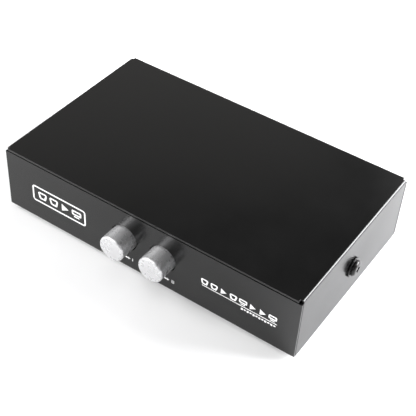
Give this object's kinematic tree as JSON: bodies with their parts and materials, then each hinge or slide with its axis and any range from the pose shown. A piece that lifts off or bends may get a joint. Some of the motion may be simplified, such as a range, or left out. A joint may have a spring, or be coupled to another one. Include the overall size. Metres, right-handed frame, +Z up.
{
  "type": "kvm switch",
  "caption": "Low black sheet-metal switch box with round silver push buttons in front and D-shaped display connectors at the rear.",
  "frame": {"origin": "under the middle of the object's box, on the plane the feet stand on", "axes": "+X to the right seen from the front, along the long side; +Y from the buttons to the rear connectors; +Z up"},
  "size_m": [0.1554, 0.1044, 0.0345],
  "materials": {
    "black_paint": "satin black powder paint",
    "black_steel": "black oxide, satin",
    "silver_plating": "silver, satin gloss",
    "white_plastic": "moulded, matt",
    "black_plastic": "moulded, matt",
    "bronze": "bare strip",
    "rubber": "matt",
    "circuit_board_green": "solder mask, satin",
    "brass": "turned",
    "bare_steel": "bright",
    "connector_blue": "moulded, satin",
    "nickel_plating": "nickel plated, satin"
  },
  "bodies": {
    "case": {"chassis": "black_paint", "circuit_board": "circuit_board_green", "front_left_board_post": "brass", "front_left_board_screw": "bare_steel", "front_left_foot": "rubber", "front_right_board_post": "brass", "front_right_board_screw": "bare_steel", "front_right_foot": "rubber", "latch_bracket": "bare_steel", "latch_spring": "bare_steel", "left_case_screw": "black_steel", "left_screw_washer": "black_steel", "port_in_1_back_strap": "nickel_plating", "port_in_1_insulator": "connector_blue", "port_in_1_left_jackscrew": "nickel_plating", "port_in_1_left_nut": "nickel_plating", "port_in_1_right_jackscrew": "nickel_plating", "port_in_1_right_nut": "nickel_plating", "port_in_1_shell": "nickel_plating", "port_in_2_back_strap": "nickel_plating", "port_in_2_insulator": "connector_blue", "port_in_2_left_jackscrew": "nickel_plating", "port_in_2_left_nut": "nickel_plating", "port_in_2_right_jackscrew": "nickel_plating", "port_in_2_right_nut": "nickel_plating", "port_in_2_shell": "nickel_plating", "port_out_back_strap": "nickel_plating", "port_out_insulator": "connector_blue", "port_out_left_jackscrew": "nickel_plating", "port_out_left_nut": "nickel_plating", "port_out_right_jackscrew": "nickel_plating", "port_out_right_nut": "nickel_plating", "port_out_shell": "nickel_plating", "rear_left_board_post": "brass", "rear_left_board_screw": "bare_steel", "rear_left_foot": "rubber", "rear_right_board_post": "brass", "rear_right_board_screw": "bare_steel", "rear_right_foot": "rubber", "return_spring_1": "bare_steel", "return_spring_2": "bare_steel", "right_case_screw": "black_steel", "right_screw_washer": "black_steel", "switch_body_1": "black_plastic", "switch_body_2": "black_plastic", "top_cover": "black_paint"},
    "button_1": {"button_cap_1": "silver_plating", "plunger_1": "white_plastic", "moving_contact_1": "bronze"},
    "button_2": {"button_cap_2": "silver_plating", "plunger_2": "white_plastic", "moving_contact_2": "bronze"},
    "latch": {"latch_bar": "bare_steel"}
  },
  "joints": [
    {"name": "button_1_press", "type": "slide", "parent": "case", "child": "button_1", "axis": [0, 1, 0], "range_m": [0, 0.004], "stiffness_N_per_m": 400, "deforming": ["return_spring_1"]},
    {"name": "button_2_press", "type": "slide", "parent": "case", "child": "button_2", "axis": [0, 1, 0], "range_m": [0, 0.004], "stiffness_N_per_m": 400, "deforming": ["return_spring_2"]},
    {"name": "latch_slide", "type": "slide", "parent": "case", "child": "latch", "axis": [1, 0, 0], "range_m": [0, 0.001], "stiffness_N_per_m": 300, "deforming": ["latch_spring"]}
  ]
}
